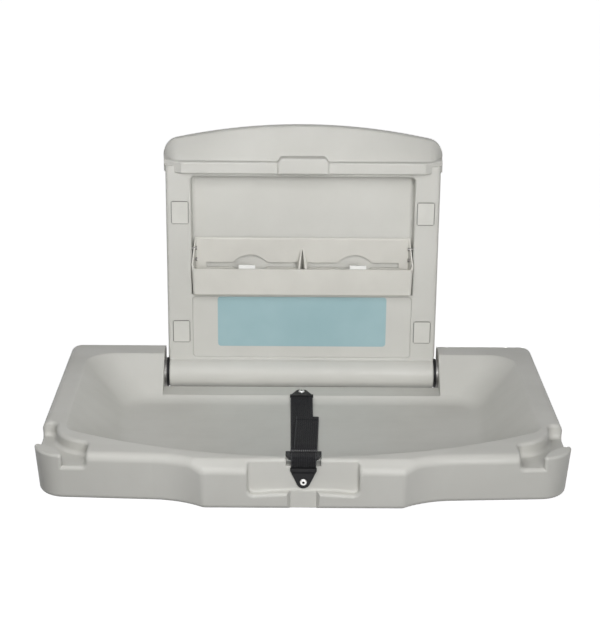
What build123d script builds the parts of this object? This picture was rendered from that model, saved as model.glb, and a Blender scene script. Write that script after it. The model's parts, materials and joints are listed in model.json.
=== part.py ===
import os
from math import atan2, cos, degrees, radians, sin, sqrt, tan

from build123d import *

os.makedirs("parts", exist_ok=True)

# Fold-down baby changing station, shown open on its wall.
# Millimetres. X runs along the bed, +Y goes into the wall, Z is up.
# The origin lies on the wall, in the middle of the four wall screws.

# Wall screws
screw_pitch_x = 442
screw_pitch_z = 226
screw_hole = 8.5
screw_seat = 12

# Wall unit
rail_outside = 29
rail_inside = 20.5
rail_round = 6
unit_draft = 4
unit_below = 22.5
face_out = 64
cap_inset = 1
cap_overhang = 4
cap_skirt = 14.5
cap_upright = 23.5
arch_rise = 30.5
cap_corner = 30
roof_depth = 16
roof_edge = 7
scoop_inset = 20
lip_out = 72
lip_top = 208
lip_height = 21.5
lip_ledge = 12
lip_bevel = 33
lip_return = 52
lip_round = 3
bump_half = 46
bump_slope = 7
bump_rise = 8.5
bump_depth = 17
bump_proud = 4

# Recess for the liner tray, and the panel below it
recess_margin = 7
recess_foot = -41
recess_depth = 30
recess_corner = 7.5
recess_floor_round = 7
recess_edge_round = 4
panel_inset = 0.5
panel_bar = 5
panel_rise = 4
panel_depth = 4
panel_corner = 6
panel_edge_round = 2

# Snap-in screw covers
cover_width = 31
cover_height = 42
cover_thickness = 3
cover_proud = 0.8
cover_corner = 4
cover_gap = 0.4
cover_leg = 9
leg_thickness = 2
well_width = 24
well_height = 34

# Liner tray
tray_stand = 4
tray_proud = 13
tray_inset = 4.5
tray_flare = 1
tray_lean = 3
tray_clear = 1.5
tray_height = 51
tray_rise = 48.5
tray_wall = 2.5
tray_corner = 5
rib_rear = 5
rib_rear_gap = 1
rib_front = 17
rib_front_gap = 9
rib_drop = 20.5
slot_inset = 20
slot_middle = 10
slot_drop = 7.5
slot_height = 9.5
finger_width = 62
finger_rise = 14.5
finger_place = 95.5
clip_place = 100.5
clip_width = 30
clip_height = 34
clip_rise = 7
clip_thickness = 1.6
rivet_shank = 4
rivet_head = 7
rivet_head_height = 1.6
rivet_grip = 7
rivet_stand = 6
rivet_inset = 12
rivet_lift = 61
rivet_pitch = 21
rivet_fit = 0.05

# Hinge
hinge_out = 58
rim_drop = 154.5
axis_drop = 41
barrel_radius = 28
barrel_inset = 6
barrel_round = 3
pin_radius = 8
pin_fit = 0.05
pin_depth = 40
bush_wall = 7
bush_length = 14
flange_reach = 10
bush_flange = 2
damper_step = 0.5
damper_length = 60
damper_floor = 4
seat_fit = 0.05
washer_thickness = 2.7
washer_gap = 0.15
plate_rim = 7
plate_thickness = 4
plate_screw_ring = 20
plate_screw_shank = 4.5
plate_screw_head = 9
plate_screw_length = 26
plate_screws = 3
sink_angle = 82
swing_gap = 6

# Bed
bed_half = 435
bed_flare = 5
bed_rear = 14
bed_front = 533
front_sweep = 10
bed_floor = 16
bed_draft = 5
rear_corner = 22
front_corner = 52
bulge_half = 162
bulge_sweep = 78
bulge_reach = 29
bulge_corner = 20
bulge_slope = 21
bulge_drop = 14
crease_round = 12
rim_round = 14
foot_round = 8
ledge_gap = 4
ledge_rise = 9
heel_inset = 13
heel_margin = 34
heel_reach = 1
heel_top = 26
heel_foot = 8
heel_land = 14

# Basin
side_rim = 43
rear_rim = 55
front_rim = 2
basin_arc = 763
basin_rear_corner = 48
basin_front_corner = 30
basin_depth = 66
side_slope = 78
rear_slope = 73
front_slope = 38
floor_corner = 48
floor_round = 42
inner_round = 5

# Bag hooks: channels round the basin's front corners, each with an island at the bed's corner
hook_land = 30
hook_depth = 24
hook_tip_in = 88
hook_rear_in = 30
hook_rear_run = 55
hook_round = 12
hook_floor_round = 7
hook_mouth_round = 6
island_rear_back = 59
island_belly_in = 38
island_belly_back = 38
island_tip_in = 53
island_tip_beyond = 7
island_drop = 4
island_tip_round = 5
island_round = 4

# Finger pull and strap notch at the front edge
pull_half = 88
pull_depth = 18
pull_sill = 24
pull_arch = 5
pull_corner = 10
groove_half = 20.5
groove_depth = 7
groove_flare = 4
notch_half = 27
notch_depth = 12
pull_round = 5
pull_rear_round = 4
notch_round = 3

# Safety strap
web_width = 40
web_thickness = 1.6
web_clear = 0.3
web_play = 2
anchor_reach = 24
anchor_thickness = 2.6
anchor_bar = 5
anchor_tip = 11
anchor_slot = 3
anchor_hole = 5.4
anchor_back = 22
anchor_drop = 2
screw_radius = 2.6
screw_head = 5.6
screw_head_height = 2.8
screw_length = 15
screw_socket = 2.2
insert_radius = 4.5
insert_length = 14
buckle_side = 7.5
buckle_taper = 5
buckle_back = 20
buckle_length = 25
buckle_thickness = 5
buckle_slot = 4.5
wing_length = 8
bar_depth = 5
bar_rise = 2.5
tooth_pitch = 3
tooth_depth = 1
tail_length = 302
tail_skew = 1.9
tail_gap = 1
web_heel = 33
web_toe = 3
web_round = 38
web_reach = 4.5

# Wall unit: widths follow from the screws, heights from the lip and the hinge
rim_z = -rim_drop
axis_z = rim_z - axis_drop
axis_y = -hinge_out
unit_half = screw_pitch_x / 2 + rail_outside
unit_bottom = unit_below - axis_z
lip_foot = lip_top - lip_height
lip_front_half = unit_half - lip_bevel
cap_foot_half = unit_half - cap_inset
cap_half = unit_half + cap_overhang
cap_foot = lip_foot - cap_skirt
cap_shoulder = lip_top + cap_upright
cap_apex = cap_shoulder + arch_rise
scoop_half = cap_half - scoop_inset
recess_half = screw_pitch_x / 2 - rail_inside
recess_top = lip_foot - recess_margin
panel_half = recess_half - panel_inset
panel_top = recess_foot - panel_bar
panel_foot = axis_z + barrel_radius + panel_rise

# Tray: hangs in the recess
tray_back = face_out - recess_depth + tray_stand
tray_front = face_out + tray_proud
tray_back_half = recess_half - tray_inset
tray_front_half = recess_half + tray_flare
tray_foot = recess_foot + tray_clear
tray_front_top = tray_foot + tray_height
tray_back_top = tray_front_top + tray_rise
slot_foot = tray_front_top - slot_drop
rivet_places = [(-tray_back - rivet_inset, tray_foot + rivet_lift + n * rivet_pitch) for n in (0, 1)]

# Hinge: stacked outwards from the barrel's ends
barrel_half = unit_half - barrel_inset
bush_radius = pin_radius + bush_wall
bush_flange_radius = bush_radius + flange_reach
damper_radius = bush_radius - damper_step
plate_radius = plate_screw_ring + plate_rim
swing_relief = barrel_radius + swing_gap
flange_face = barrel_half + bush_flange
plate_face = flange_face + washer_thickness + 2 * washer_gap
cut_half = plate_face + plate_thickness

# Bed and basin: follow from the bed's half length and front edge
bed_rear_half = bed_half - bed_flare
bed_corner_front = bed_front - front_sweep
bed_depth = basin_depth + bed_floor
bed_foot = rim_z - bed_depth
bulge_front = bed_front + bulge_reach
bulge_crease = bulge_front - bulge_slope
sweep_start = bulge_half + bulge_sweep
heel_start = cut_half + heel_inset
heel_end = bed_rear_half - heel_margin
basin_half = bed_half - side_rim
basin_rear = bed_rear + rear_rim
basin_front = bed_front - front_rim
basin_floor = rim_z - basin_depth
floor_half = basin_half - side_slope
floor_rear = basin_rear + rear_slope
floor_front = basin_front - front_slope
ledge_drop = basin_depth - ledge_rise
ledge_z = rim_z - ledge_drop
ledge_rear = hinge_out + barrel_radius + ledge_gap
pull_back = bulge_front - pull_depth
pull_foot = bed_depth - pull_sill

# Strap: follows from the webbing, the ledge and the finger pull
anchor_width = web_width + web_play
screw_rear = floor_rear - anchor_back
screw_front = notch_depth + anchor_reach + anchor_drop
buckle_slot_width = web_width + web_play
buckle_width = buckle_slot_width + 2 * buckle_side
buckle_waist = buckle_width - 2 * buckle_taper
buckle_rear = pull_back - buckle_back
teeth = int(buckle_slot_width / tooth_pitch)
web_landing = floor_rear + web_heel
web_rise = floor_front - web_toe
rim_plane = Plane.XY.offset(rim_z)
sides = {"left": -1, "right": 1}
rows = {"upper": 1, "lower": -1}


def save(piece, name):
    piece.part.label = name
    export_step(piece.part, f"parts/{name}.step")


def lying_at(shapes, axis, place):
    # those of the shapes whose middle lies at this place along an axis
    return shapes.filter_by_position(axis, place - 0.01, place + 0.01)


def corners_at(outline, distance):
    # corners of an outline that lie this far out from the wall
    return lying_at(outline.vertices(), Axis.Y, -distance)


def arc_reach(front, half):
    # how far out the basin's wide front arc lies at this half width
    return front - basin_arc + sqrt(basin_arc**2 - half**2)


def basin_outline(outline, rear, half, front, rear_round, front_round):
    # straight back and ends, and a front edge on one wide arc
    end = arc_reach(front, half)
    with BuildLine() as edge:
        Polyline((half, -end), (half, -rear), (-half, -rear), (-half, -end))
        ThreePointArc((-half, -end), (0, -front), (half, -end))
    make_face(edge.edges())
    fillet(corners_at(outline, end), front_round)
    fillet(corners_at(outline, rear), rear_round)


# Form of the basin, cut out of the bed
with BuildPart() as basin:
    with BuildSketch(rim_plane) as basin_rim:
        basin_outline(basin_rim, basin_rear, basin_half, basin_front, basin_rear_corner, basin_front_corner)
    with BuildSketch(rim_plane.offset(-basin_depth)) as basin_base:
        basin_outline(basin_base, floor_rear, floor_half, floor_front, floor_corner, floor_corner)
    loft(ruled=True)
    fillet(basin.faces().sort_by(Axis.Z)[0].edges(), floor_round)

# Form of a bag hook, cut out of a front corner: a channel that keeps its distance from the basin
with BuildPart() as hook_form:
    hook_tip_half = bed_half - hook_tip_in
    hook_tip = Vector(hook_tip_half, -arc_reach(basin_front, hook_tip_half) - hook_land)
    hook_belly = Vector(basin_half, -arc_reach(basin_front, basin_half) - hook_land)
    hook_top = Vector(bed_half - hook_rear_in, hook_belly.Y + hook_rear_run)
    beyond = Vector(2 * bed_half, -2 * bed_front)
    with BuildSketch(rim_plane) as hook_plan:
        with BuildLine():
            ThreePointArc(hook_tip, hook_belly, hook_top)
            Polyline(hook_top, (beyond.X, hook_top.Y), beyond, (hook_tip.X, beyond.Y), hook_tip)
        make_face()
        fillet(hook_plan.vertices().group_by(Axis.X)[0].sort_by(Axis.Y)[-1], hook_round)
        fillet(corners_at(hook_plan, -hook_top.Y).sort_by(Axis.X)[0], hook_round)
    extrude(amount=-hook_depth)
    fillet(hook_form.faces().sort_by(Axis.Z)[0].edges(), hook_floor_round)

# Form of the finger pull, cut out of the bulge's front
with BuildPart() as pull_form:
    with BuildSketch(Plane.XZ.offset(pull_back)) as pull_face:
        with BuildLine():
            pull_low = rim_z - pull_foot
            Polyline((-pull_half, pull_low), (-pull_half, rim_z), (pull_half, rim_z), (pull_half, pull_low))
            ThreePointArc((pull_half, pull_low), (0, pull_low + pull_arch), (-pull_half, pull_low))
        make_face()
        fillet(pull_face.vertices().group_by(Axis.Y)[0], pull_corner)
    extrude(amount=bulge_front - pull_back + bulge_corner)
    pull_rear = pull_form.faces().sort_by(Axis.Y)[-1].edges()
    fillet(pull_rear.filter_by(lambda e: e.center().Z < rim_z - 1), pull_rear_round)

# Drafted body of the bed
with BuildPart() as bed_body:
    with BuildSketch(rim_plane) as bed_outline:
        with BuildLine():
            front_run = Vector(sweep_start - bed_half, bed_corner_front - bed_front)
            Polyline((bed_rear_half, -bed_rear), (bed_half, -bed_corner_front), (sweep_start, -bed_front))
            TangentArc((sweep_start, -bed_front), (bulge_half, -bulge_front), tangent=front_run)
            mirror(about=Plane.YZ)
            Line((-bed_rear_half, -bed_rear), (bed_rear_half, -bed_rear))
            Line((-bulge_half, -bulge_front), (bulge_half, -bulge_front))
        make_face()
        fillet(corners_at(bed_outline, bed_rear), rear_corner)
        fillet(corners_at(bed_outline, bed_corner_front), front_corner)
        fillet(corners_at(bed_outline, bulge_front), bulge_corner)
    extrude(amount=-bed_depth, taper=bed_draft)

# Island that stands in a bag hook, at the bed's corner
with BuildPart() as hook_island:
    add(bed_body.part)
    with BuildSketch(rim_plane.offset(-island_drop)):
        with BuildLine():
            island_side = Vector(bed_half, island_rear_back - bed_front)
            island_belly = Vector(bed_half - island_belly_in, island_belly_back - bed_front)
            island_tip = Vector(bed_half - island_tip_in, -island_tip_beyond - bed_front)
            ThreePointArc(island_side, island_belly, island_tip)
            Polyline(island_tip, (island_tip.X, beyond.Y), beyond, (beyond.X, island_side.Y), island_side)
        make_face()
    extrude(amount=-2 * hook_depth, mode=Mode.INTERSECT)
    island_wall = hook_island.faces().filter_by(GeomType.CYLINDER)[0]
    fillet(island_wall.edges().filter_by(lambda e: abs(e.tangent_at(0.5).Z) > 0.5), island_tip_round)
    fillet(hook_island.faces().sort_by(Axis.Z)[-1].edges(), island_round)

# Bed shell: the body with a sunk front bulge
with BuildPart() as bed_shell:
    add(bed_body.part)
    with BuildSketch(Plane.YZ):
        slope_end = bulge_front + bulge_corner
        slope_drop = bulge_drop * (slope_end - bulge_crease) / (bulge_front - bulge_crease)
        with BuildLine():
            slope_foot = (-slope_end, rim_z - slope_drop)
            Polyline((-bulge_crease, rim_z), slope_foot, (-slope_end, rim_z), close=True)
        make_face()
    extrude(amount=bed_half, both=True, mode=Mode.SUBTRACT)
    fillet(lying_at(bed_shell.edges().filter_by(Axis.X), Axis.Y, -bulge_crease), crease_round)
    tops = bed_shell.faces().filter_by(lambda f: f.normal_at().Z > 0.5)
    creases = bed_shell.edges().filter_by(Axis.X).filter_by_position(Axis.Y, -bulge_front + 2, -bed_front - 1)
    fillet(tops.edges() - creases, rim_round)
    fillet(bed_shell.faces().sort_by(Axis.Z)[0].edges(), foot_round)

    # Bag hooks at both front corners, with rounded mouths and their islands
    add(hook_form.part, mode=Mode.SUBTRACT)
    add(hook_form.part.mirror(Plane.YZ), mode=Mode.SUBTRACT)
    rim_arcs = lying_at(bed_shell.edges().filter_by(GeomType.CIRCLE), Axis.Z, rim_z)
    fillet(rim_arcs.filter_by_position(Axis.Y, hook_top.Y - hook_round, hook_top.Y), hook_mouth_round)
    add(hook_island.part)
    add(hook_island.part.mirror(Plane.YZ))

    # Basin, with a rounded edge
    add(basin.part, mode=Mode.SUBTRACT)
    rim_face = lying_at(bed_shell.faces().filter_by(Plane.XY), Axis.Z, rim_z)
    fillet(rim_face[0].inner_wires()[0].edges(), inner_round)

    # Gap for the wall unit, with a lower ledge along its front
    with BuildSketch(rim_plane):
        Rectangle(2 * cut_half, 2 * ledge_rear)
    extrude(amount=-bed_depth, mode=Mode.SUBTRACT)
    with BuildSketch(rim_plane):
        Rectangle(2 * cut_half, 2 * floor_rear)
    extrude(amount=-ledge_drop, mode=Mode.SUBTRACT)

    # Finger pull, the groove under it and the strap notch behind it
    add(pull_form.part, mode=Mode.SUBTRACT)
    groove_back = bulge_front - bed_depth * tan(radians(bed_draft)) - groove_depth
    with BuildSketch(Plane.XY.offset(bed_foot)):
        with BuildLine():
            flare = groove_half + groove_flare * (bulge_front - groove_back) / groove_depth
            Polyline((-groove_half, -groove_back), (groove_half, -groove_back), (flare, -bulge_front))
            Polyline((flare, -bulge_front), (-flare, -bulge_front), (-groove_half, -groove_back))
        make_face()
    extrude(amount=bed_depth - pull_foot + 2 * pull_arch, mode=Mode.SUBTRACT)
    with BuildSketch(rim_plane):
        with Locations((0, -pull_back)):
            Rectangle(2 * notch_half, 2 * (pull_back - floor_front))
    extrude(amount=-notch_depth, mode=Mode.SUBTRACT)
    pull_top = lying_at(bed_shell.edges().filter_by(Axis.X), Axis.Y, -pull_back)
    fillet(pull_top.group_by(Axis.Z)[-1], pull_round)
    notch_top = lying_at(bed_shell.edges().filter_by(Axis.Y), Axis.Z, rim_z)
    fillet(notch_top.filter_by(lambda e: abs(abs(e.center().X) - notch_half) < 0.01), notch_round)

    # Heels that bear on the wall, hinge bores and seats of the strap inserts
    for side in (-1, 1):
        with BuildSketch(Plane.YZ.offset(side * heel_start)):
            with BuildLine():
                heel_low = bed_foot + heel_foot
                heel_root = -2 * bed_rear
                Polyline(
                    (heel_root, heel_low),
                    (-heel_reach, heel_low),
                    (-heel_reach, heel_low + heel_land),
                    (heel_root, heel_low + heel_top),
                    close=True,
                )
            make_face()
        extrude(amount=side * (heel_end - heel_start))
    for side in (-1, 1):
        with BuildSketch(Plane.YZ.offset(side * cut_half)):
            with Locations((axis_y, axis_z)):
                Circle(pin_radius + seat_fit)
        extrude(amount=side * (pin_depth + 1), mode=Mode.SUBTRACT)
        with BuildSketch(Plane.YZ.offset(side * cut_half)):
            with Locations((axis_y, axis_z)):
                with PolarLocations(plate_screw_ring, plate_screws, start_angle=90):
                    Circle(plate_screw_shank / 2 + seat_fit)
        extrude(amount=side * plate_screw_length, mode=Mode.SUBTRACT)
    with Locations(Location((0, -screw_rear, ledge_z))):
        Hole(insert_radius + seat_fit, insert_length)
    with Locations(Plane.XZ.offset(pull_back)):
        with Locations((0, rim_z - screw_front)):
            Hole(insert_radius + seat_fit, insert_length)
save(bed_shell, "bed_shell")


def cap_outline(outline, foot_half, half, shoulder, apex, corner):
    # upright sides under one wide arch
    with BuildLine() as edge:
        Polyline((-half, shoulder), (-foot_half, cap_foot), (foot_half, cap_foot), (half, shoulder))
        ThreePointArc((half, shoulder), (0, apex), (-half, shoulder))
    make_face(edge.edges())
    fillet(outline.vertices().group_by(Axis.Y)[-1], corner)


def at_screws():
    # the four wall screws, in the wall plane
    return GridLocations(screw_pitch_x, screw_pitch_z, 2, 2)


# Hinge barrel at the foot of the wall unit
with BuildPart() as barrel:
    with BuildSketch(Plane.YZ):
        with Locations((axis_y, axis_z)):
            Circle(barrel_radius)
    extrude(amount=barrel_half, both=True)
    fillet(barrel.edges().filter_by(GeomType.CIRCLE), barrel_round)

# Arched cap, hollowed in front down to the ledge of its lip
with BuildPart() as cap:
    with BuildSketch(Plane.XZ) as cap_back:
        cap_outline(cap_back, cap_foot_half, cap_half, cap_shoulder, cap_apex, cap_corner)
    extrude(amount=roof_depth)
    with BuildSketch(Plane.XZ.offset(roof_depth)) as scoop_top:
        cap_outline(scoop_top, cap_foot_half, cap_half, cap_shoulder, cap_apex, cap_corner)
    with BuildSketch(Plane.XZ.offset(lip_out - lip_ledge)) as scoop_foot:
        cap_outline(scoop_foot, scoop_half - 1, scoop_half, lip_top - 2, lip_top, roof_edge)
    loft(sections=[scoop_top.sketch, scoop_foot.sketch], ruled=True)
    roof_front = lying_at(cap.edges().filter_by(GeomType.CIRCLE), Axis.Y, -roof_depth)
    fillet(roof_front.sort_by(SortBy.LENGTH)[-1], roof_edge)

# Lip under the cap, with bevelled ends
with BuildPart() as lip:
    with BuildSketch(Plane.XY.offset(lip_foot)):
        with BuildLine():
            Polyline((lip_front_half, -lip_out), (cap_foot_half, -lip_return), (cap_foot_half, 0))
            mirror(about=Plane.YZ)
            Line((-lip_front_half, -lip_out), (lip_front_half, -lip_out))
            Line((-cap_foot_half, 0), (cap_foot_half, 0))
        make_face()
    extrude(amount=lip_height)
    fillet(lip.faces().filter_by(lambda f: f.normal_at().Y < -0.3).edges(), lip_round)

# Raised middle of the lip
with BuildPart() as bump:
    with BuildSketch(Plane.XZ.offset(lip_out - bump_depth)):
        with BuildLine():
            bump_top = lip_top + bump_rise
            Polyline((bump_half, lip_foot), (bump_half, lip_top), (bump_half - bump_slope, bump_top))
            mirror(about=Plane.YZ)
            Line((-bump_half + bump_slope, bump_top), (bump_half - bump_slope, bump_top))
            Line((-bump_half, lip_foot), (bump_half, lip_foot))
        make_face()
    extrude(amount=bump_depth + bump_proud)
    fillet(bump.faces().sort_by(Axis.Z)[-1].edges().filter_by(Axis.Y), bump_slope)
    fillet(bump.faces().sort_by(Axis.Y)[0].edges(), bump_proud)

# Wall unit
with BuildPart() as wall_panel:
    with BuildSketch(Plane.XZ):
        with Locations((0, (lip_top - unit_draft - unit_bottom) / 2)):
            Rectangle(2 * unit_half, lip_top - unit_draft + unit_bottom)
    extrude(amount=face_out, taper=unit_draft)
    fillet(wall_panel.faces().sort_by(Axis.Y)[0].edges().group_by(Axis.X)[0], rail_round)
    fillet(wall_panel.faces().sort_by(Axis.Y)[0].edges().group_by(Axis.X)[-1], rail_round)
    for form in (cap, lip, bump, barrel):
        add(form.part)

    # Recess behind the tray, and the panel below it
    with BuildSketch(Plane.XZ.offset(face_out)) as recess:
        with Locations((0, (recess_top + recess_foot) / 2)):
            Rectangle(2 * recess_half, recess_top - recess_foot)
        fillet(recess.vertices().group_by(Axis.Y)[-1], recess_corner)
    extrude(amount=-recess_depth, mode=Mode.SUBTRACT)
    recess_back = lying_at(wall_panel.faces().filter_by(Plane.XZ), Axis.Y, recess_depth - face_out)
    fillet(recess_back.edges(), recess_floor_round)
    face_edges = lying_at(wall_panel.edges().filter_by(Axis.X), Axis.Y, -face_out)
    fillet(lying_at(face_edges, Axis.Z, recess_top), recess_edge_round)
    with BuildSketch(Plane.XZ.offset(face_out)):
        with Locations((0, (panel_top + panel_foot) / 2)):
            RectangleRounded(2 * panel_half, panel_top - panel_foot, panel_corner)
    extrude(amount=-panel_depth, mode=Mode.SUBTRACT)
    face_edges = lying_at(wall_panel.edges().filter_by(Axis.X), Axis.Y, -face_out)
    fillet(lying_at(face_edges, Axis.Z, panel_foot), panel_edge_round)

    # Screw wells with a rebate for their covers
    with BuildSketch(Plane.XZ.offset(face_out)):
        with at_screws():
            RectangleRounded(cover_width + 2 * cover_gap, cover_height + 2 * cover_gap, cover_corner)
    extrude(amount=cover_proud - cover_thickness, mode=Mode.SUBTRACT)
    with BuildSketch(Plane.XZ.offset(face_out)):
        with at_screws():
            RectangleRounded(well_width, well_height, cover_corner)
    extrude(amount=screw_seat - face_out, mode=Mode.SUBTRACT)
    with BuildSketch(Plane.XZ):
        with at_screws():
            Circle(screw_hole / 2)
    extrude(amount=screw_seat, mode=Mode.SUBTRACT)

    # Room for the bed's swing, bores of bush and damper, and rivet holes
    for side in (-1, 1):
        with BuildSketch(Plane.YZ.offset(side * barrel_half)):
            with Locations((axis_y, axis_z)):
                Circle(swing_relief)
        extrude(amount=side * unit_half, mode=Mode.SUBTRACT)
        with BuildSketch(Plane.YZ.offset(side * barrel_half)):
            with Locations((axis_y, axis_z)):
                Circle(bush_radius + seat_fit)
        extrude(amount=-side * bush_length, mode=Mode.SUBTRACT)
        with BuildSketch(Plane.YZ.offset(side * (barrel_half - bush_length))):
            with Locations((axis_y, axis_z)):
                Circle(damper_radius + seat_fit)
        extrude(amount=-side * (damper_length + 1), mode=Mode.SUBTRACT)
        with BuildSketch(Plane.YZ.offset(side * recess_half)):
            with Locations(*rivet_places):
                Circle(rivet_shank / 2 + seat_fit)
        extrude(amount=side * rivet_grip, mode=Mode.SUBTRACT)
save(wall_panel, "wall_panel")


# Screw covers: a flat lid on two snap legs
for row, up in rows.items():
    for name, side in sides.items():
        with BuildPart() as screw_cover:
            with BuildSketch(Plane.XZ.offset(face_out + cover_proud)):
                with Locations((side * screw_pitch_x / 2, up * screw_pitch_z / 2)):
                    RectangleRounded(cover_width, cover_height, cover_corner - cover_gap)
            extrude(amount=seat_fit - cover_thickness)
            fillet(screw_cover.faces().sort_by(Axis.Y)[0].edges(), cover_proud)
            with BuildSketch(Plane.XZ.offset(face_out + cover_proud - cover_thickness + seat_fit)):
                with Locations((side * screw_pitch_x / 2, up * screw_pitch_z / 2)):
                    with GridLocations(well_width - leg_thickness - 2 * cover_gap, 0, 2, 1):
                        Rectangle(leg_thickness, well_height / 2)
            extrude(amount=-cover_leg)
        save(screw_cover, f"screw_cover_{row}_{name}")


def tray_form(rear, face, narrower, foot, rise):
    # flared box between two upright sections, its top sloping down to the front
    with BuildPart() as form:
        for out, foot_half, top_half, top in (
            (rear, tray_back_half, tray_back_half, tray_back_top),
            (face, tray_front_half - tray_lean, tray_front_half, tray_front_top),
        ):
            with BuildSketch(Plane.XZ.offset(out)):
                with BuildLine():
                    Polyline(
                        (narrower - foot_half, foot),
                        (foot_half - narrower, foot),
                        (top_half - narrower, top + rise),
                        (narrower - top_half, top + rise),
                        close=True,
                    )
                make_face()
        loft(ruled=True)
        uprights = form.faces().sort_by(Axis.Y)[0].edges()
        fillet(uprights.group_by(Axis.X)[0] + uprights.group_by(Axis.X)[-1], tray_corner - narrower)
        fillet(form.faces().sort_by(Axis.Z)[0].edges(), tray_corner - narrower - 1)
    return form.part


def rib_form(inset, rear_width, front_width, rise):
    # wedge between the tray's back and front, widening and falling to the front
    with BuildPart() as form:
        for out, width, top in (
            (tray_back + inset, rear_width, tray_back_top - rib_drop),
            (tray_front - inset, front_width, tray_front_top - tray_wall),
        ):
            with BuildSketch(Plane.XZ.offset(out)):
                height = top + rise - tray_foot - inset
                with Locations((0, tray_foot + inset + height / 2)):
                    Rectangle(width, height)
        loft(ruled=True)
    return form.part


# Liner tray: flared box with a sloping top, a hollow middle rib and two slots in its back
with BuildPart() as liner_tray:
    add(tray_form(tray_back, tray_front, 0, tray_foot, 0))
    inner_rear = tray_back + tray_wall
    inner_front = tray_front - tray_wall
    add(tray_form(inner_rear, inner_front, tray_wall, tray_foot + tray_wall, tray_corner), mode=Mode.SUBTRACT)
    with BuildSketch(Plane.XZ.offset(tray_front - tray_wall)):
        with Locations((0, tray_front_top + tray_wall)):
            Rectangle(3 * tray_front_half, 2 * tray_wall)
    extrude(amount=tray_front, mode=Mode.SUBTRACT)
    add(rib_form(tray_wall / 2, rib_rear, rib_front, 0))
    add(rib_form(tray_wall, rib_rear_gap, rib_front_gap, tray_corner), mode=Mode.SUBTRACT)
    with BuildSketch(Plane.XZ.offset(tray_back)):
        for side in (-1, 1):
            slot_length = tray_back_half - slot_inset - slot_middle
            with Locations((side * (slot_middle + slot_length / 2), slot_foot + slot_height / 2)):
                Rectangle(slot_length, slot_height)
            for edge, rise in ((slot_foot + slot_height, finger_rise), (slot_foot, -finger_rise)):
                with BuildLine():
                    finger_start = (side * finger_place - finger_width / 2, edge)
                    finger_end = (side * finger_place + finger_width / 2, edge)
                    ThreePointArc(finger_start, (side * finger_place, edge + rise), finger_end)
                    Line(finger_end, finger_start)
                make_face()
    extrude(amount=tray_wall, mode=Mode.SUBTRACT)
    for side in (-1, 1):
        with BuildSketch(Plane.YZ.offset(side * recess_half)):
            with Locations(*rivet_places):
                Circle(rivet_shank / 2 + rivet_fit)
        extrude(amount=-side * 4 * tray_wall, mode=Mode.SUBTRACT)
save(liner_tray, "liner_tray")

# Pale clips inside the tray's front wall
for name, side in sides.items():
    with BuildPart() as liner_clip:
        with BuildSketch(Plane.YZ.offset(side * clip_place)):
            with BuildLine():
                clip_face = -tray_front + tray_wall + web_clear
                clip_top = tray_front_top + clip_rise
                Polyline(
                    (clip_face + clip_thickness, clip_top - clip_height),
                    (clip_face + clip_thickness, clip_top),
                    (clip_face - clip_thickness, clip_top),
                    (clip_face - clip_thickness, tray_front_top + web_clear),
                    (clip_face, tray_front_top + web_clear),
                    (clip_face, clip_top - clip_height),
                    close=True,
                )
            make_face()
        extrude(amount=clip_width / 2, both=True)
        fillet(liner_clip.faces().sort_by(Axis.Z)[-1].edges(), clip_thickness / 3)
    save(liner_clip, f"liner_clip_{name}")

# Rivets through the tray's ends
with BuildPart() as tray_rivets:
    for side in (-1, 1):
        with BuildSketch(Plane.YZ.offset(side * (recess_half + rivet_grip - 1))):
            with Locations(*rivet_places):
                Circle(rivet_shank / 2)
        extrude(amount=-side * (rivet_grip + rivet_stand))
        with BuildSketch(Plane.YZ.offset(side * (recess_half - rivet_stand - 1))):
            with Locations(*rivet_places):
                Circle(rivet_head / 2)
        extrude(amount=-side * rivet_head_height)
    crowns = tray_rivets.faces().filter_by(lambda f: abs(f.center().X) < recess_half - rivet_stand - 2)
    fillet(crowns.edges(), rivet_head_height / 2)
save(tray_rivets, "tray_rivets")


def turned(start, end, radius, bore=0):
    # a turned piece about the hinge axis, from one place along it to another
    with BuildSketch(Plane.YZ.offset(start)) as ring:
        with Locations((axis_y, axis_z)):
            Circle(radius)
            if bore:
                Circle(bore, mode=Mode.SUBTRACT)
    extrude(ring.sketch, amount=end - start)


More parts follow.
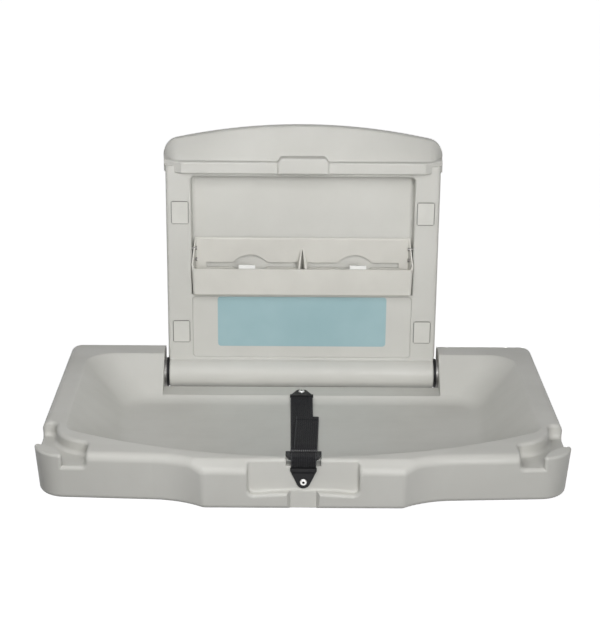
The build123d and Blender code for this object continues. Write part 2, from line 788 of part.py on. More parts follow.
# Hinge pieces at both ends of the barrel
damper_face = barrel_half - bush_length
damper_end = damper_face - damper_length
sink_depth = (plate_screw_head - plate_screw_shank) / 2 / tan(radians(sink_angle / 2))
for name, side in sides.items():
    with BuildPart() as hinge_bush:
        turned(side * barrel_half, side * flange_face, bush_flange_radius, pin_radius + pin_fit)
        turned(side * (damper_face + 1), side * barrel_half, bush_radius, pin_radius + pin_fit)
    save(hinge_bush, f"hinge_bush_{name}")

    with BuildPart() as hinge_damper:
        turned(side * damper_end, side * (damper_end + damper_floor), damper_radius)
        turned(side * (damper_end + damper_floor), side * damper_face, damper_radius, pin_radius + pin_fit)
        chamfer(hinge_damper.edges().filter_by(GeomType.CIRCLE).sort_by(Axis.X)[-1 if side < 0 else 0], 1)
    save(hinge_damper, f"hinge_damper_{name}")

    with BuildPart() as hinge_pin:
        turned(side * (damper_end + damper_floor + 1), side * (cut_half + pin_depth), pin_radius)
        chamfer(hinge_pin.edges().filter_by(GeomType.CIRCLE), 1)
    save(hinge_pin, f"hinge_pin_{name}")

    with BuildPart() as thrust_washer:
        washer_start = side * (flange_face + washer_gap)
        turned(washer_start, side * (plate_face - washer_gap), bush_flange_radius, pin_radius + pin_fit)
    save(thrust_washer, f"thrust_washer_{name}")

    plate_seat = Plane(origin=(side * plate_face, axis_y, axis_z), x_dir=(0, 0, 1), z_dir=(-side, 0, 0))
    with BuildPart() as hinge_plate:
        turned(side * plate_face, side * cut_half, plate_radius, pin_radius + pin_fit)
        with Locations(plate_seat):
            with PolarLocations(plate_screw_ring, plate_screws):
                CounterSinkHole(
                    plate_screw_shank / 2 + seat_fit,
                    plate_screw_head / 2 + seat_fit,
                    counter_sink_angle=sink_angle,
                )
    save(hinge_plate, f"hinge_plate_{name}")

    with BuildPart() as plate_screw_set:
        with Locations(plate_seat):
            with PolarLocations(plate_screw_ring, plate_screws):
                from_face = (Align.CENTER, Align.CENTER, Align.MAX)
                Cylinder(plate_screw_shank / 2, plate_screw_length, align=from_face)
                Cone(plate_screw_shank / 2, plate_screw_head / 2, sink_depth, align=from_face)
    save(plate_screw_set, f"plate_screws_{name}")

# Strap anchors: a plate with a rounded tip and a thick bar, on a screw in a threaded insert
anchor_seats = {
    "rear": Plane(origin=(0, -screw_rear, ledge_z), x_dir=(-1, 0, 0), z_dir=(0, 0, 1)),
    "front": Plane(origin=(0, -pull_back, rim_z - screw_front), x_dir=(1, 0, 0), z_dir=(0, -1, 0)),
}
for name, seat in anchor_seats.items():
    with BuildPart() as strap_anchor:
        with BuildSketch(seat):
            Circle(anchor_tip)
            with Locations((0, anchor_reach - anchor_bar / 2)):
                Rectangle(anchor_width, anchor_bar)
            make_hull()
        extrude(amount=anchor_thickness)
        with BuildSketch(seat):
            with Locations((0, anchor_reach - anchor_bar / 2)):
                RectangleRounded(anchor_width, anchor_bar, anchor_bar / 4)
        extrude(amount=anchor_bar)
        with BuildSketch(seat):
            with Locations((0, anchor_reach - anchor_bar - anchor_slot)):
                SlotOverall(web_width - anchor_bar, anchor_slot)
            Circle(anchor_hole / 2)
        extrude(amount=anchor_thickness, mode=Mode.SUBTRACT)
    save(strap_anchor, f"strap_anchor_{name}")

    with BuildPart() as anchor_screw:
        with BuildSketch(seat.offset(anchor_thickness)):
            Circle(screw_head)
        extrude(amount=screw_head_height)
        crown = anchor_screw.faces().sort_by(Axis(seat.origin, seat.z_dir))[-1]
        fillet(crown.edges(), screw_head_height * 0.8)
        with BuildSketch(seat.offset(anchor_thickness + screw_head_height)):
            RegularPolygon(screw_socket, 6)
        extrude(amount=-screw_head_height / 2, mode=Mode.SUBTRACT)
        with BuildSketch(seat.offset(anchor_thickness)):
            Circle(screw_radius)
        extrude(amount=-screw_length)
    save(anchor_screw, f"anchor_screw_{name}")

    with BuildPart() as anchor_insert:
        with BuildSketch(seat):
            Circle(insert_radius)
            Circle(screw_radius + seat_fit, mode=Mode.SUBTRACT)
        extrude(amount=-insert_length + 0.5)
    save(anchor_insert, f"anchor_insert_{name}")

# Webbing: along the basin floor, up to the buckle, its loose tail on top, and down to the front anchor
web_floor = basin_floor + web_clear + web_thickness / 2
web_lap = web_thickness + tail_gap
web_bend = 90 - degrees(atan2(buckle_rear - web_lap - web_rise, rim_z + buckle_thickness / 2 - web_floor))
with BuildPart() as strap_long:
    with BuildSketch(Plane.YZ):
        with BuildLine() as route:
            FilletPolyline(
                (-screw_rear - anchor_reach - web_clear, ledge_z + anchor_thickness / 2),
                (-web_landing, web_floor),
                (-web_rise, web_floor),
                (-buckle_rear + web_lap, rim_z + buckle_thickness / 2),
                radius=web_round,
            )
        trace(line_width=web_thickness)
    extrude(amount=web_width / 2, both=True)
save(strap_long, "strap_long")

skew = radians(tail_skew)
tail_run = Vector(sin(skew), cos(skew), 0)
tail_plane = Plane(origin=(0, -buckle_rear, 0), x_dir=tail_run, z_dir=tail_run.cross(Vector(0, 0, 1)))
with BuildPart() as strap_tail:
    with BuildSketch(tail_plane):
        with BuildLine():
            tail_foot = buckle_rear - web_rise + web_lap * tan(radians(web_bend / 2))
            FilletPolyline(
                (web_lap, rim_z + buckle_thickness / 2 + web_lap / cos(radians(web_bend))),
                (tail_foot, web_floor + web_lap),
                (tail_length, web_floor + web_lap),
                radius=web_round - web_lap,
            )
        trace(line_width=web_thickness)
    extrude(amount=web_width / 2, both=True)
save(strap_tail, "strap_tail")

buckle_front = buckle_rear + buckle_length
buckle_mid = rim_z + web_clear + buckle_thickness / 2
with BuildPart() as strap_short:
    with BuildSketch(Plane.YZ):
        with BuildLine():
            FilletPolyline(
                (-buckle_front - web_clear, buckle_mid),
                (-buckle_front - web_reach, buckle_mid),
                (-pull_back - anchor_thickness, rim_z - screw_front + anchor_reach + web_thickness),
                radius=web_thickness,
            )
        trace(line_width=web_thickness)
    extrude(amount=web_width / 2, both=True)
save(strap_short, "strap_short")

# Ladder buckle with winged ends, two webbing slots and a toothed bar
with BuildPart() as buckle:
    with BuildSketch(Plane.XY.offset(rim_z + web_clear)) as buckle_plan:
        with BuildLine():
            Polyline((buckle_width / 2, -buckle_rear), (buckle_width / 2, -buckle_rear - wing_length))
            Line((buckle_width / 2, -buckle_rear - wing_length), (buckle_waist / 2, -buckle_front))
            mirror(about=Plane.YZ)
            Line((-buckle_width / 2, -buckle_rear), (buckle_width / 2, -buckle_rear))
            Line((-buckle_waist / 2, -buckle_front), (buckle_waist / 2, -buckle_front))
        make_face()
    extrude(amount=buckle_thickness)
    with BuildSketch(Plane.XY.offset(rim_z + web_clear)):
        with Locations((0, -buckle_rear - bar_depth / 2)):
            Rectangle(buckle_slot_width, bar_depth)
    extrude(amount=buckle_thickness + bar_rise)
    with BuildSketch(Plane.XY.offset(rim_z + web_clear)):
        with Locations((0, -buckle_rear - buckle_length / 2)):
            with GridLocations(0, buckle_length - 2 * bar_depth - buckle_slot, 1, 2):
                RectangleRounded(buckle_slot_width, buckle_slot, buckle_slot / 4)
    extrude(amount=buckle_thickness, mode=Mode.SUBTRACT)
    with BuildSketch(Plane.XY.offset(rim_z + web_clear + buckle_thickness + bar_rise)):
        with Locations((0, -buckle_rear - bar_depth / 2)):
            with GridLocations(tooth_pitch, 0, teeth, 1):
                Rectangle(tooth_pitch / 2, bar_depth)
    extrude(amount=-tooth_depth, mode=Mode.SUBTRACT)
    nose = buckle.faces().sort_by(Axis.Y)[0].edges().filter_by(Axis.X)
    fillet(nose, buckle_thickness / 2 - 0.05)
save(buckle, "buckle")
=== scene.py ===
import json
import math

import bmesh
import bpy
from mathutils import Matrix, Vector


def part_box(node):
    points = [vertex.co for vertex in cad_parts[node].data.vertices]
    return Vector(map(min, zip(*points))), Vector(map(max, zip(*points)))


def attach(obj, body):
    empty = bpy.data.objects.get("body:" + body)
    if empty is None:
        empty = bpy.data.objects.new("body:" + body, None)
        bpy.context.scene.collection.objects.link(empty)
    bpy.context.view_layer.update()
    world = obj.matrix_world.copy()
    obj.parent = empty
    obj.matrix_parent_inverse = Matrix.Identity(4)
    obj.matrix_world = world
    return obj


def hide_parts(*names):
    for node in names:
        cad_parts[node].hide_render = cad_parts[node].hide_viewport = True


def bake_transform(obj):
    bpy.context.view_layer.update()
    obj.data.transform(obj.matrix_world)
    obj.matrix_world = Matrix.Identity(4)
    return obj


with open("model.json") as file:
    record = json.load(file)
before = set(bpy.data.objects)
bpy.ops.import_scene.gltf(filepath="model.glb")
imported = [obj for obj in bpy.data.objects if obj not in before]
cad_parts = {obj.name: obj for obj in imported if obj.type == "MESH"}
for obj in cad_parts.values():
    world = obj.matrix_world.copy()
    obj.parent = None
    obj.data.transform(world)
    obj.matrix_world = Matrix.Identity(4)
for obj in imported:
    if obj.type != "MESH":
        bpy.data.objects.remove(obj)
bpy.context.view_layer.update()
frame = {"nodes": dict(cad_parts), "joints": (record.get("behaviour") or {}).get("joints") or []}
nodes = frame["nodes"]
scene = bpy.context.scene
noiseSpan = (0.3, 0.7)  # where most values of a noise texture lie
gapSpan = (0.06, 0.44)  # openness of a narrow gap, from shut to clear
print("frame loaded")


def grow(tree, kind, sockets=None, **settings):
    # a new node, each socket linked or given a value
    node = tree.nodes.new(kind)
    for key, value in settings.items():
        setattr(node, key, value)
    for key, value in (sockets or {}).items():
        if isinstance(value, bpy.types.NodeSocket):
            tree.links.new(value, node.inputs[key])
        else:
            node.inputs[key].default_value = value
    return node


def noise(tree, place, scale, detail=2.0, roughness=0.5):
    sockets = {"Vector": place, "Scale": scale, "Detail": detail, "Roughness": roughness}
    return grow(tree, "ShaderNodeTexNoise", sockets).outputs["Fac"]


def mapped(tree, value, fromLow, fromHigh, toLow=0.0, toHigh=1.0):
    sockets = {"Value": value, "From Min": fromLow, "From Max": fromHigh, "To Min": toLow, "To Max": toHigh}
    return grow(tree, "ShaderNodeMapRange", sockets, interpolation_type="SMOOTHSTEP").outputs["Result"]


def arithmetic(tree, operation, first, second=0.0):
    return grow(tree, "ShaderNodeMath", {0: first, 1: second}, operation=operation).outputs[0]


def vectors(tree, operation, first, second=(0, 0, 0)):
    return grow(tree, "ShaderNodeVectorMath", {0: first, 1: second}, operation=operation).outputs


def stretched(tree, place, scale):
    return grow(tree, "ShaderNodeMapping", {"Vector": place, "Scale": scale}).outputs["Vector"]


def split(tree, vector):
    return grow(tree, "ShaderNodeSeparateXYZ", {"Vector": vector}).outputs


def wave(tree, place, pitch):
    return arithmetic(tree, "SINE", arithmetic(tree, "MULTIPLY", place, 2 * math.pi / pitch))


def tinted(tree, factor, first, second, blend="MIX"):
    sockets = {0: factor}
    for index, tint in ((6, first), (7, second)):
        sockets[index] = tint if isinstance(tint, bpy.types.NodeSocket) else (*tint, 1)
    return grow(tree, "ShaderNodeMix", sockets, data_type="RGBA", blend_type=blend).outputs[2]


def bumped(tree, height, distance, normal=None):
    sockets = {"Height": height, "Distance": distance, "Strength": 1.0}
    if normal is not None:
        sockets["Normal"] = normal
    return grow(tree, "ShaderNodeBump", sockets).outputs["Normal"]


def eased(tree, radius):
    return grow(tree, "ShaderNodeBevel", {"Radius": radius}, samples=4).outputs["Normal"]


def paintedGapShade(tree, tint, values):
    # painted shade in the narrow gaps, where another surface stands close by
    nearby = grow(tree, "ShaderNodeAmbientOcclusion", {"Distance": values["shelter"]}, samples=8)
    dark = tinted(tree, 1.0, tint, values["shade"], "MULTIPLY")
    return tinted(tree, mapped(tree, nearby.outputs["AO"], *gapSpan), dark, tint)


def paintedJointShadow(tree, tint, place, values):
    # painted shadow: a dark line round the rim of a let-in cover, where the joint gap lies in shade
    away = vectors(tree, "SUBTRACT", place, values["centre"])[0]
    away = vectors(tree, "ABSOLUTE", away)[0]
    parts = split(tree, vectors(tree, "SUBTRACT", away, values["half"])[0])
    reach = arithmetic(tree, "MAXIMUM", parts["X"], parts["Z"])
    rim = mapped(tree, reach, -values["joint"], -values["joint"] / 2)
    return tinted(tree, rim, tint, values["jointShadowTint"])


def paintedTopHighlight(tree, tint, place, values):
    # painted highlight: paler colour on whatever stands above a height
    height = split(tree, place)["Z"]
    highlightMask = mapped(tree, height, values["highlightAbove"], values["highlightAbove"] + values["highlightFade"])
    return tinted(tree, highlightMask, tint, values["highlightTint"])


def blank(name):
    material = bpy.data.materials.new(name)
    material.use_nodes = True
    tree = material.node_tree
    place = tree.nodes.new("ShaderNodeTexCoord").outputs["Object"]
    return material, tree, tree.nodes["Principled BSDF"], place


def paint(material, *names):
    for name in names:
        nodes[name].data.materials.clear()
        nodes[name].data.materials.append(material)


# Moulded plastics: cloudy tint, pebbled skin, a few specks, soft scuffs and eased edges
def plastic(values):
    material, tree, shader, place = blank(values["name"])
    cloud = mapped(tree, noise(tree, place, values["cloud"], detail=4.0), *noiseSpan)
    tint = tinted(tree, cloud, values["deep"], values["pale"])
    cells = grow(tree, "ShaderNodeTexVoronoi", {"Vector": place, "Scale": values["specks"]})
    speck = mapped(tree, cells.outputs["Distance"], *values["speckSize"], values["speckStrength"], 0.0)
    tint = tinted(tree, speck, tint, values["speckTint"])
    # painted shade: colour darkened in narrow gaps by ambient occlusion
    tint = paintedGapShade(tree, tint, values)
    # painted shadow of the joint gap round a cover
    if "joint" in values:
        tint = paintedJointShadow(tree, tint, place, values)
    # painted highlight on whatever stands above a height
    if "highlightAbove" in values:
        tint = paintedTopHighlight(tree, tint, place, values)
    tree.links.new(tint, shader.inputs["Base Color"])
    scuff = noise(tree, stretched(tree, place, values["scuffs"]), 1.0, detail=6.0, roughness=0.65)
    rough = mapped(tree, scuff, *values["scuffSpan"], values["smooth"], values["matt"])
    tree.links.new(rough, shader.inputs["Roughness"])
    shader.inputs["Specular IOR Level"].default_value = values["gloss"]
    swell = noise(tree, place, values["swell"], detail=1.0)
    swell = bumped(tree, swell, values["swellDepth"], eased(tree, values["edge"]))
    pebble = noise(tree, place, values["pebble"], detail=2.0, roughness=0.6)
    tree.links.new(bumped(tree, pebble, values["pebbleDepth"], swell), shader.inputs["Normal"])
    return material


shellValues = dict(
    name="shellPlastic", deep=(0.57, 0.565, 0.53), pale=(0.61, 0.605, 0.57), cloud=7.0,
    specks=130.0, speckSize=(0.06, 0.1), speckStrength=0.22, speckTint=(0.42, 0.41, 0.38),
    scuffs=(9.0, 42.0, 9.0), scuffSpan=(0.35, 0.7), smooth=0.36, matt=0.52, gloss=0.28, edge=0.002,
    swell=11.0, swellDepth=0.0009, pebble=900.0, pebbleDepth=0.00012, shelter=0.008, shade=(0.3, 0.29, 0.27),
)
paint(plastic(shellValues), "wall_panel", "bed_shell")

# Screw covers, with a painted shadow line round each rim
coverValues = dict(
    shellValues, deep=(0.615, 0.61, 0.572), pale=(0.655, 0.65, 0.61), cloud=26.0, edge=0.0004,
    swell=30.0, swellDepth=0.0002, joint=0.0014, jointShadowTint=(0.27, 0.265, 0.245),
)
for name in nodes:
    if name.startswith("screw_cover"):
        low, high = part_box(name)
        rim = dict(centre=(low + high) / 2, half=(high - low) / 2)
        paint(plastic(dict(coverValues, name=name + "_plastic", **rim)), name)

trayValues = dict(
    shellValues, name="trayPlastic", deep=(0.6, 0.588, 0.545), pale=(0.64, 0.628, 0.582),
    cloud=12.0, edge=0.0006, matt=0.48, swell=16.0, swellDepth=0.0004, shelter=0.003,
)
paint(plastic(trayValues), "liner_tray")

clipValues = dict(
    shellValues, name="clipPlastic", deep=(0.8, 0.8, 0.78), pale=(0.86, 0.86, 0.84), cloud=40.0, edge=0.0003,
    speckStrength=0.05, smooth=0.28, matt=0.4, swell=60.0, swellDepth=0.0001,
)
paint(plastic(clipValues), "liner_clip_left", "liner_clip_right")

blackValues = dict(
    shellValues, name="blackPlastic", deep=(0.011, 0.011, 0.012), pale=(0.017, 0.017, 0.018),
    cloud=60.0, specks=500.0, speckTint=(0.03, 0.03, 0.03), scuffs=(160.0, 60.0, 60.0),
    smooth=0.42, matt=0.58, gloss=0.2, edge=0.0004, swell=90.0, swellDepth=0.00015,
    pebble=1700.0, pebbleDepth=0.00008,
)
blackPlastic = plastic(blackValues)
paint(
    blackPlastic, "strap_anchor_rear", "strap_anchor_front", "hinge_damper_left", "hinge_damper_right",
    "hinge_bush_left", "hinge_bush_right", "thrust_washer_left", "thrust_washer_right",
)

# Painted highlight along the tips of the buckle's teeth
buckleValues = dict(
    blackValues, name="bucklePlastic", highlightAbove=-0.1477, highlightFade=0.0003, highlightTint=(0.15, 0.15, 0.155),
)
paint(plastic(buckleValues), "buckle")
print("plastics done")


# Turned and plated metal: fine tool marks, smudges and a dulled skin
def metal(values):
    material, tree, shader, place = blank(values["name"])
    shader.inputs["Metallic"].default_value = 1.0
    smudge = noise(tree, place, values["smudge"], detail=5.0, roughness=0.6)
    tint = tinted(tree, mapped(tree, smudge, *values["smudgeSpan"]), values["deep"], values["pale"])
    # painted shade of a drive socket: a dark disc round the head's middle
    if "socket" in values:
        flat = vectors(tree, "MULTIPLY", place, values["across"])[0]
        away = vectors(tree, "DISTANCE", flat, values["socket"])["Value"]
        tint = tinted(tree, mapped(tree, away, *values["socketRim"], 1.0, 0.0), tint, values["socketShadeTint"])
    tree.links.new(tint, shader.inputs["Base Color"])
    line = noise(tree, stretched(tree, place, values["marks"]), 1.0, detail=3.0)
    rough = mapped(tree, line, *noiseSpan, values["smooth"], values["matt"])
    tree.links.new(rough, shader.inputs["Roughness"])
    skin = bumped(tree, line, values["markDepth"], eased(tree, values["edge"]))
    tree.links.new(skin, shader.inputs["Normal"])
    return material


steelValues = dict(
    name="plainSteel", deep=(0.66, 0.655, 0.64), pale=(0.8, 0.795, 0.78), smudge=70.0, smudgeSpan=(0.35, 0.7),
    marks=(2600.0, 70.0, 70.0), markDepth=0.00003, smooth=0.3, matt=0.46, edge=0.0004,
)
paint(metal(steelValues), "hinge_pin_left", "hinge_pin_right")

dullSteelValues = dict(
    steelValues, name="dullSteel", deep=(0.2, 0.195, 0.19), pale=(0.3, 0.295, 0.285), smooth=0.4, matt=0.55,
)
paint(
    metal(dullSteelValues), "hinge_plate_left", "hinge_plate_right", "plate_screws_left",
    "plate_screws_right", "tray_rivets",
)

# Each anchor screw gets painted shade of a drive socket, a dark disc in the middle of its head
screwValues = dict(steelValues, socketRim=(0.0019, 0.0023), socketShadeTint=(0.015, 0.015, 0.015))
for end, across in (("rear", (1, 1, 0)), ("front", (1, 0, 1))):
    low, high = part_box("anchor_screw_" + end)
    socket = (low + high) / 2 * Vector(across)
    screwSteel = metal(dict(screwValues, name=end + "ScrewSteel", across=across, socket=socket))
    paint(screwSteel, "anchor_screw_" + end)

brassValues = dict(
    steelValues, name="insertBrass", deep=(0.46, 0.32, 0.13), pale=(0.62, 0.45, 0.2),
    marks=(300.0, 300.0, 900.0),
)
paint(metal(brassValues), "anchor_insert_rear", "anchor_insert_front")
print("metals done")


# Webbing: ribs along the length crossed by fine picks, paler where the yarn stands up
def webbingMaterial(values):
    material, tree, shader, place = blank(values["name"])
    parts = split(tree, grow(tree, "ShaderNodeUVMap", uv_map="weave").outputs["UV"])
    rib = wave(tree, parts["Y"], values["rib"])
    slant = arithmetic(tree, "MULTIPLY", arithmetic(tree, "ABSOLUTE", rib), values["slant"])
    pick = wave(tree, arithmetic(tree, "ADD", parts["X"], slant), values["pick"])
    ribHeight = arithmetic(tree, "MULTIPLY", rib, values["ribHeight"])
    pickHeight = arithmetic(tree, "MULTIPLY", pick, values["pickHeight"])
    yarn = arithmetic(tree, "ADD", ribHeight, pickHeight)
    fuzz = noise(tree, place, values["fuzz"], detail=3.0, roughness=0.7)
    height = arithmetic(tree, "ADD", yarn, arithmetic(tree, "MULTIPLY", fuzz, values["fuzzHeight"]))
    yarnWear = mapped(tree, yarn, -1.0, 1.0, 0.0, values["yarnWear"])
    fuzzWear = mapped(tree, fuzz, *values["fuzzSpan"], 0.0, values["fuzzWear"])
    tint = tinted(tree, arithmetic(tree, "ADD", yarnWear, fuzzWear), values["deep"], values["pale"])
    # painted highlight: paler colour along both edges of the webbing
    selvedgeHighlight = mapped(tree, arithmetic(tree, "ABSOLUTE", parts["Y"]), *values["edgeSpan"])
    # painted shade: colour darkened in narrow gaps, such as under the loose tail
    tint = paintedGapShade(tree, tinted(tree, selvedgeHighlight, tint, values["edgeHighlightTint"]), values)
    tree.links.new(tint, shader.inputs["Base Color"])
    shader.inputs["Roughness"].default_value = values["rough"]
    shader.inputs["Specular IOR Level"].default_value = values["gloss"]
    shader.inputs["Sheen Weight"].default_value = values["sheen"]
    shader.inputs["Sheen Roughness"].default_value = values["sheenRough"]
    tree.links.new(bumped(tree, height, values["depth"]), shader.inputs["Normal"])
    return material


webbingValues = dict(
    name="webbingCloth", deep=(0.007, 0.007, 0.008), pale=(0.036, 0.036, 0.039),
    edgeHighlightTint=(0.075, 0.075, 0.08), edgeSpan=(0.018, 0.0192), shelter=0.006, shade=(0.25, 0.25, 0.25),
    rib=0.0036, ribHeight=0.6, pick=0.0012, pickHeight=0.4, slant=0.0009, depth=0.0004,
    fuzz=1500.0, fuzzHeight=0.9, fuzzSpan=(0.35, 0.75), fuzzWear=0.4, yarnWear=0.6,
    rough=0.82, gloss=0.12, sheen=0.03, sheenRough=0.5,
)
webbingCloth = webbingMaterial(webbingValues)


def follow(points):
    # the smooth line through a route of control points
    curve = bpy.data.curves.new("route", "CURVE")
    curve.dimensions = "3D"
    curve.resolution_u = 16
    spline = curve.splines.new("NURBS")
    spline.points.add(len(points) - 1)
    for point, place in zip(spline.points, points):
        point.co = (*place, 1)
    spline.order_u = 3
    spline.use_endpoint_u = True
    holder = bpy.data.objects.new("route", curve)
    scene.collection.objects.link(holder)
    line = bpy.data.meshes.new_from_object(holder.evaluated_get(bpy.context.evaluated_depsgraph_get()))
    places = [vertex.co.copy() for vertex in line.vertices]
    bpy.data.objects.remove(holder)
    bpy.data.meshes.remove(line)
    return places


def placed(name, mesh):
    data = bpy.data.meshes.new(name)
    mesh.to_mesh(data)
    mesh.free()
    piece = bpy.data.objects.new(name, data)
    scene.collection.objects.link(piece)
    return piece


def finished(name, mesh):
    bmesh.ops.recalc_face_normals(mesh, faces=mesh.faces[:])
    return placed(name, mesh)


def picked(geometry, kind):
    return [item for item in geometry if isinstance(item, kind)]


# Every length of webbing: columns across it, thinned edges and the waves of its ripples
ribbonValues = dict(width=0.04, columns=14, edgePower=14, edgeLeft=0.35, rippleAlong=61, rippleAcross=2.2)


def ribbonLift(share, run, values):
    # how far the face stands off the middle of the webbing, and the ripple there
    full = math.sqrt(max(1 - abs(share) ** ribbonValues["edgePower"], 0.0))
    thick = values["thickness"] / 2 * (ribbonValues["edgeLeft"] + (1 - ribbonValues["edgeLeft"]) * full)
    phase = run * ribbonValues["rippleAlong"] + share * ribbonValues["rippleAcross"]
    return thick, values.get("ripple", 0.0) * math.sin(phase) * (1 - abs(share)) ** 0.5


def ribbon(name, values):
    # a flat section drawn along its route, with coordinates for the weave
    places = follow([Vector(point) for point in values["route"]])
    across = Vector(values.get("across", (1, 0, 0))).normalized()
    width = values.get("width", ribbonValues["width"])
    mesh = bmesh.new()
    weave = mesh.loops.layers.uv.new("weave")
    lie = mesh.verts.layers.float_vector.new("lie")  # share of the half width, face and run
    shares = [1 - 2 * step / ribbonValues["columns"] for step in range(ribbonValues["columns"] + 1)]
    section = []
    for share, face in [(share, 1) for share in shares] + [(-share, -1) for share in shares]:
        section.append(mesh.verts.new())
        section[-1][lie] = (share, face, 0)
    edges = [mesh.edges.new(pair) for pair in zip(section, section[1:] + section[:1])]
    startEdges = edges
    run = 0.0
    for index, place in enumerate(places):
        before = places[max(index - 1, 0)]
        after = places[min(index + 1, len(places) - 1)]
        run += (place - before).length
        up = across.cross((after - before).normalized())
        if index:
            drawn = bmesh.ops.extrude_edge_only(mesh, edges=edges)["geom"]
            section = picked(drawn, bmesh.types.BMVert)
            edges = picked(drawn, bmesh.types.BMEdge)
        for vertex in section:
            share, face, _ = vertex[lie]
            thick, ripple = ribbonLift(share, run, values)
            vertex.co = place + across * (share * width / 2) + up * (face * thick + ripple)
            vertex[lie] = (share, face, run)
    for face in mesh.faces:
        face.smooth = True
        for loop in face.loops:
            share, _, reach = loop.vert[lie]
            loop[weave].uv = (reach, share * width / 2)
    for end in (startEdges, edges):
        bmesh.ops.edgeloop_fill(mesh, edges=end)
    mesh.verts.layers.float_vector.remove(lie)
    piece = finished(name, mesh)
    piece.data.materials.append(webbingCloth)
    return piece


webFloor = -0.2194  # height of the webbing that lies in the basin
strapLongValues = dict(
    route=(
        (0, -0.1438, -0.2102), (0, -0.16, -0.215), (0, -0.178, webFloor), (0, -0.3, webFloor),
        (0, -0.452, webFloor), (0, -0.488, webFloor), (0, -0.503, -0.19), (0, -0.5214, -0.152),
    ),
    thickness=0.0017, ripple=0.0001,
)
strapLong = ribbon("webbing_long", strapLongValues)
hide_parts("strap_long")
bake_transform(strapLong)

tailValues = dict(start=-0.524, skew=math.radians(1.9), lift=0.0026)


def tailPoint(reach, rise=0.0):
    # a place on the loose tail, which lies a little askew on the long webbing from the buckle on
    aside = reach * math.sin(tailValues["skew"])
    back = tailValues["start"] + reach * math.cos(tailValues["skew"])
    return (aside, back, webFloor + tailValues["lift"] + rise)


strapTailValues = dict(
    route=(
        tailPoint(0.0026, 0.0703), tailPoint(0.019, 0.0338), tailPoint(0.036), tailPoint(0.065),
        tailPoint(0.078, 0.002), tailPoint(0.091), tailPoint(0.16), tailPoint(0.175, 0.0022),
        tailPoint(0.19), tailPoint(0.26), tailPoint(0.3022, -0.0006),
    ),
    across=(math.cos(tailValues["skew"]), -math.sin(tailValues["skew"]), 0), thickness=0.0017, ripple=0.0003,
)
strapTail = ribbon("webbing_tail", strapTailValues)
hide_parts("strap_tail")
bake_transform(strapTail)

strapShortValues = dict(
    route=((0, -0.5493, -0.1517), (0, -0.5525, -0.1517), (0, -0.5528, -0.1565), (0, -0.5466, -0.1669)),
    thickness=0.0017,
)
strapShort = ribbon("webbing_short", strapShortValues)
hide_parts("strap_short")
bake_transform(strapShort)

# Folded hem at the loose end
hemValues = dict(
    route=(tailPoint(0.288, 0.0011), tailPoint(0.294, 0.001), tailPoint(0.3022, 0.0008)),
    across=strapTailValues["across"], thickness=0.0012,
)
hem = ribbon("webbing_hem", hemValues)
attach(hem, "bed")

# Turn of webbing over the buckle's bars
buckleTurnValues = dict(
    route=(
        (0, -0.5311, -0.1534), (0, -0.5311, -0.1483), (0, -0.5345, -0.1482), (0, -0.5455, -0.1482),
        (0, -0.5502, -0.1483), (0, -0.5507, -0.1508),
    ),
    thickness=0.0015,
)
buckleTurn = ribbon("webbing_turn", buckleTurnValues)
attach(buckleTurn, "buckle")

# The short webbing's inner layer, where it fills the front anchor's slot
slotFillValues = dict(
    route=((0, -0.5441, -0.1765), (0, -0.5452, -0.1765), (0, -0.5463, -0.1765)),
    width=0.0346, thickness=0.0028,
)
slotFill = ribbon("webbing_slot", slotFillValues)
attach(slotFill, "bed")
print("webbing done")


# Painted shade at the barrel ends: a dark ring round the washers, out to the edge of the barrel, standing in
# for the shadow in the hinge gap
def barrelEndShade(name, side, values):
    mesh = bmesh.new()
    corners = [(values["near"], values["inner"]), (values["far"], values["inner"])]
    corners += [(values["far"], values["outer"]), (values["near"], values["outer"])]
    profile = [mesh.verts.new(hinge + Vector((side * along, 0, reach))) for along, reach in corners]
    edges = [mesh.edges.new(pair) for pair in zip(profile, profile[1:] + profile[:1])]
    bmesh.ops.spin(
        mesh, geom=profile + edges, cent=hinge, axis=(1, 0, 0), angle=2 * math.pi, steps=values["steps"],
        use_merge=True,
    )
    return finished(name, mesh)


endShadeValues = dict(near=0.2461, far=0.2488, inner=0.0253, outer=0.0276, steps=64)
hinge = Vector(next(joint["pos_m"] for joint in frame["joints"] if joint["name"] == "bed_fold"))
for sideName, side in (("left", -1), ("right", 1)):
    endShade = barrelEndShade("barrel_end_shade_" + sideName, side, endShadeValues)
    endShade.data.materials.append(blackPlastic)
    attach(endShade, "wall_unit")
print("hinge end shade done")


# Bare film panel on the wall unit below the tray
def panelMaterial(values):
    material, tree, shader, place = blank(values["name"])
    wash = mapped(tree, noise(tree, place, values["wash"], detail=3.0), *noiseSpan)
    tree.links.new(tinted(tree, wash, values["deep"], values["pale"]), shader.inputs["Base Color"])
    film = noise(tree, place, values["film"])
    rough = mapped(tree, film, *noiseSpan, values["smooth"], values["matt"])
    tree.links.new(rough, shader.inputs["Roughness"])
    tree.links.new(bumped(tree, film, values["filmDepth"]), shader.inputs["Normal"])
    return material


def roundedPanel(name, values):
    mesh = bmesh.new()
    left, bottom = values["low"]
    right, top = values["high"]
    corners = [(left, bottom), (right, bottom), (right, top), (left, top)]
    mesh.faces.new([mesh.verts.new((x, values["seat"], z)) for x, z in corners])
    bmesh.ops.bevel(
        mesh, geom=mesh.verts[:], offset=values["corner"], offset_type="OFFSET", segments=8,
        profile=0.5, affect="VERTICES", material=-1,
    )
    raised = bmesh.ops.extrude_face_region(mesh, geom=mesh.faces[:])["geom"]
    moved = picked(raised, bmesh.types.BMVert)
    bmesh.ops.translate(mesh, verts=moved, vec=(0, -values["thickness"], 0))
    return finished(name, mesh)


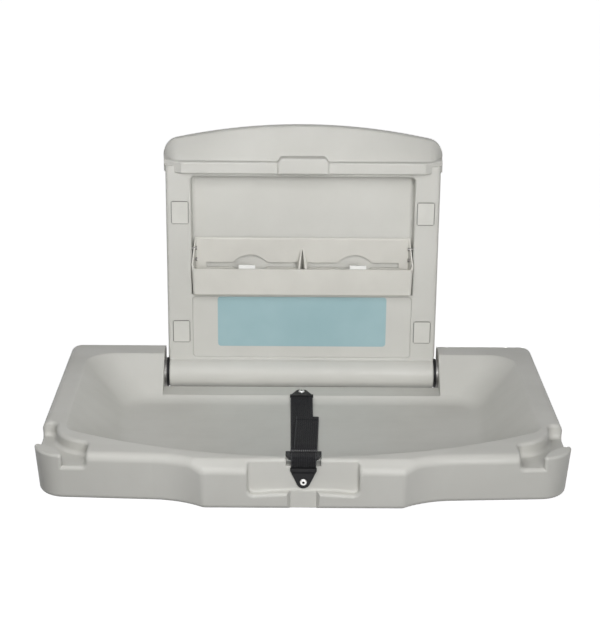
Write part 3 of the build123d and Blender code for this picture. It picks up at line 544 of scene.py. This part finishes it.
panelValues = dict(
    low=(-0.1545, -0.1425), high=(0.1545, -0.0465), seat=-0.06, corner=0.006, thickness=0.0004,
    name="panelFilm", deep=(0.31, 0.465, 0.495), pale=(0.355, 0.51, 0.54), wash=9.0,
    film=240.0, filmDepth=0.00005, smooth=0.3, matt=0.44,
)
barePanel = roundedPanel("bare_panel", panelValues)
barePanel.data.materials.append(panelMaterial(panelValues))
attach(barePanel, "wall_unit")
print("bare panel done")


def seenRay(tree):
    # what the camera sees directly, in gloss or through a clear piece
    path = tree.nodes.new("ShaderNodeLightPath").outputs
    gloss = arithmetic(tree, "MAXIMUM", path["Is Glossy Ray"], path["Is Transmission Ray"])
    return arithmetic(tree, "MAXIMUM", path["Is Camera Ray"], gloss)


# Pale floor that shows white to the camera away from shadows
def floorPaint(values):
    material, tree, shader, place = blank("floorPaint")
    tone = mapped(tree, noise(tree, place, values["tone"], detail=3.0), *noiseSpan)
    seen = seenRay(tree)
    tint = tinted(tree, seen, values["bounce"], tinted(tree, tone, values["deep"], values["pale"]))
    tree.links.new(tint, shader.inputs["Base Color"])
    shader.inputs["Roughness"].default_value = values["rough"]
    shader.inputs["Emission Color"].default_value = (1, 1, 1, 1)
    glow = arithmetic(tree, "MULTIPLY", seen, values["glow"])
    tree.links.new(glow, shader.inputs["Emission Strength"])
    return material


floorValues = dict(
    level=-1.0, size=60.0, deep=(0.84, 0.84, 0.84), pale=(0.87, 0.87, 0.87), tone=1.2, rough=0.9,
    bounce=(0.06, 0.06, 0.06), glow=0.85,
)
floorMesh = bmesh.new()
bmesh.ops.create_grid(floorMesh, x_segments=1, y_segments=1, size=floorValues["size"])
bmesh.ops.translate(floorMesh, verts=floorMesh.verts[:], vec=(0, 0, floorValues["level"]))
floor = placed("floor", floorMesh)
floor.data.materials.append(floorPaint(floorValues))

worldValues = dict(tint=(1.0, 1.0, 1.0), strength=0.14, seen=1.0)
world = bpy.data.worlds.new("studio")
scene.world = world
world.use_nodes = True
worldTree = world.node_tree
background = worldTree.nodes["Background"]
brightness = mapped(worldTree, seenRay(worldTree), 0.0, 1.0, worldValues["strength"], worldValues["seen"])
worldTree.links.new(brightness, background.inputs["Strength"])
background.inputs["Color"].default_value = (*worldValues["tint"], 1)


def softbox(name, values):
    data = bpy.data.lights.new(name, "AREA")
    data.shape = "RECTANGLE"
    data.size, data.size_y = values["size"]
    data.energy = values["energy"]
    data.spread = math.radians(values.get("spread", 180))
    lamp = bpy.data.objects.new(name, data)
    scene.collection.objects.link(lamp)
    lamp.location = values["place"]
    lamp.visible_camera = False
    aim = Vector(values["aim"]) - Vector(values["place"])
    lamp.rotation_mode = "QUATERNION"
    lamp.rotation_quaternion = aim.to_track_quat("-Z", "Y")


lightValues = dict(
    frontLight=dict(place=(0.5, -2.9, 0.75), aim=(0, -0.2, -0.1), size=(1.0, 1.0), energy=37),
    upperLight=dict(place=(-0.35, -1.15, 0.95), aim=(0, -0.2, -0.1), size=(0.9, 0.6), energy=7.6),
    wallLight=dict(place=(0.3, -1.9, 0.9), aim=(0, 0, 0.25), size=(0.5, 0.4), energy=0.6, spread=45),
    backLight=dict(place=(0.4, 2.8, -0.6), aim=(0, 0, -0.1), size=(1.2, 0.5), energy=2, spread=40),
)
for name, values in lightValues.items():
    softbox(name, values)
print("stage and light done")

cameraValues = dict(
    place=(-0.0276, -2.9412, 0.9178), down=19.3, turn=0.480, roll=-0.498, lens=93.375, sensor=36.0,
)
camera = bpy.data.objects.new("camera", bpy.data.cameras.new("camera"))
scene.collection.objects.link(camera)
camera.data.sensor_width = cameraValues["sensor"]
camera.data.lens = cameraValues["lens"]
camera.data.dof.use_dof = False
down, turn, roll = (math.radians(cameraValues[key]) for key in ("down", "turn", "roll"))
ahead = Vector((math.sin(turn) * math.cos(down), math.cos(turn) * math.cos(down), -math.sin(down)))
level = Vector((math.cos(turn), -math.sin(turn), 0))
right = math.cos(roll) * level - math.sin(roll) * level.cross(ahead)
upward = right.cross(ahead)
facing = Matrix((right, upward, -ahead)).transposed().to_4x4()
camera.matrix_world = Matrix.Translation(cameraValues["place"]) @ facing
scene.camera = camera
scene.view_settings.view_transform = "Standard"

print("camera done")
